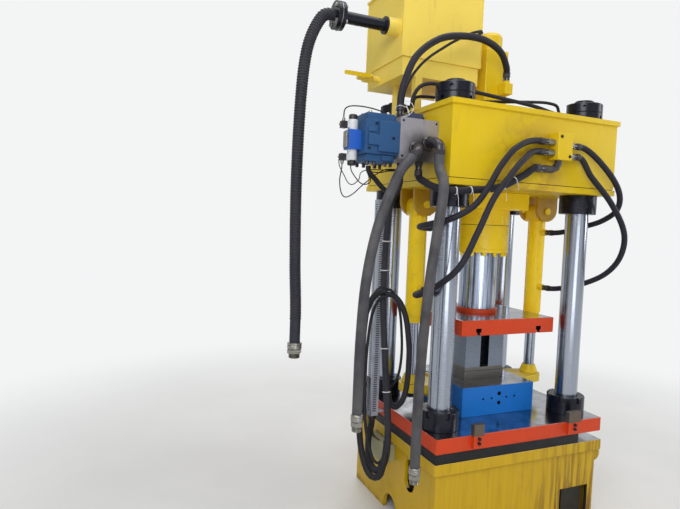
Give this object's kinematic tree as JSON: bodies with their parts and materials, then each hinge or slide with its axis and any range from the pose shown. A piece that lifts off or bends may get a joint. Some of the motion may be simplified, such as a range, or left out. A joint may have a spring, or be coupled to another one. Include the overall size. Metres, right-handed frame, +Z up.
{
  "type": "hydraulic press",
  "caption": "Four-column hydraulic press with a crown, ram and slide, a floating die on lift cylinders, a top oil tank, valves and hoses.",
  "frame": {"origin": "on the floor under the press centre, on the bed's cross rib", "axes": "+X to the right along the front, +Y to the back, +Z up"},
  "size_m": [1.7804, 1.0162, 2.9],
  "materials": {
    "yellow_paint": "glossy yellow enamel, dusty and scuffed",
    "orange_paint": "orange-red enamel on the edges, bright machined faces",
    "blue_paint": "blue enamel",
    "grey_paint": "grey steel with an oiled finish",
    "hard_chrome": "ground hard chrome",
    "bright_steel": "machined steel",
    "black_steel": "black-oxide steel",
    "black_rubber": "dusty black hose rubber",
    "pale_plastic": "pale grey plastic"
  },
  "bodies": {
    "press_frame": {"bed_frame": "yellow_paint", "bed_plate": "yellow_paint", "crown": "yellow_paint", "main_cylinder": "yellow_paint", "cylinder_gland": "yellow_paint", "lift_barrel_left": "yellow_paint", "lift_barrel_right": "yellow_paint", "top_tank": "yellow_paint", "prefill_valve": "yellow_paint", "front_manifold": "yellow_paint", "bolster_plate": "orange_paint", "main_valve": "blue_paint", "valve_block": "grey_paint", "terminal_box": "grey_paint", "column_front_left": "hard_chrome", "column_front_right": "hard_chrome", "column_back_left": "hard_chrome", "column_back_right": "hard_chrome", "lower_punch": "bright_steel", "return_coupling": "bright_steel", "supply_coupling_b": "bright_steel", "supply_coupling_c": "bright_steel", "bed_spacer": "black_steel", "return_pipe": "black_steel", "lower_nut_front_left": "black_steel", "lower_nut_front_right": "black_steel", "lower_nut_back_left": "black_steel", "lower_nut_back_right": "black_steel", "crown_nut_front_left": "black_steel", "crown_nut_front_right": "black_steel", "crown_nut_back_left": "black_steel", "crown_nut_back_right": "black_steel", "top_nut_front_left": "black_steel", "top_nut_front_right": "black_steel", "top_nut_back_left": "black_steel", "top_nut_back_right": "black_steel", "right_upper_hose": "black_rubber", "right_lower_hose": "black_rubber", "left_upper_hose": "black_rubber", "left_lower_hose": "black_rubber", "hose_bundle": "black_rubber", "pressure_hose": "black_rubber", "drain_hose": "black_rubber", "conduit_loop": "black_rubber", "return_hose": "black_rubber", "supply_hose_b": "black_rubber", "supply_hose_c": "black_rubber", "cable_duct": "pale_plastic"},
    "press_slide": {"ram": "hard_chrome", "ram_flange": "orange_paint", "slide": "orange_paint", "punch_holder": "grey_paint", "upper_punch": "bright_steel", "guide_rod": "hard_chrome"},
    "floating_die": {"die_block": "blue_paint", "lift_bracket_left": "yellow_paint", "lift_bracket_right": "yellow_paint", "lift_rod_left": "hard_chrome", "lift_rod_right": "hard_chrome"},
    "valve_lever": {"tank_valve_lever": "yellow_paint"}
  },
  "joints": [
    {"name": "ram_stroke", "type": "slide", "parent": "press_frame", "child": "press_slide", "axis": [0, 0, 1], "range_m": [0, 0.3]},
    {"name": "die_lift", "type": "slide", "parent": "press_frame", "child": "floating_die", "axis": [0, 0, 1], "range_m": [0, 0.12]},
    {"name": "tank_valve_turn", "type": "hinge", "parent": "press_frame", "child": "valve_lever", "pos_m": [-0.672, 0.1515, 2.425], "axis": [0, 1, 0], "range_deg": [0, 90]}
  ]
}
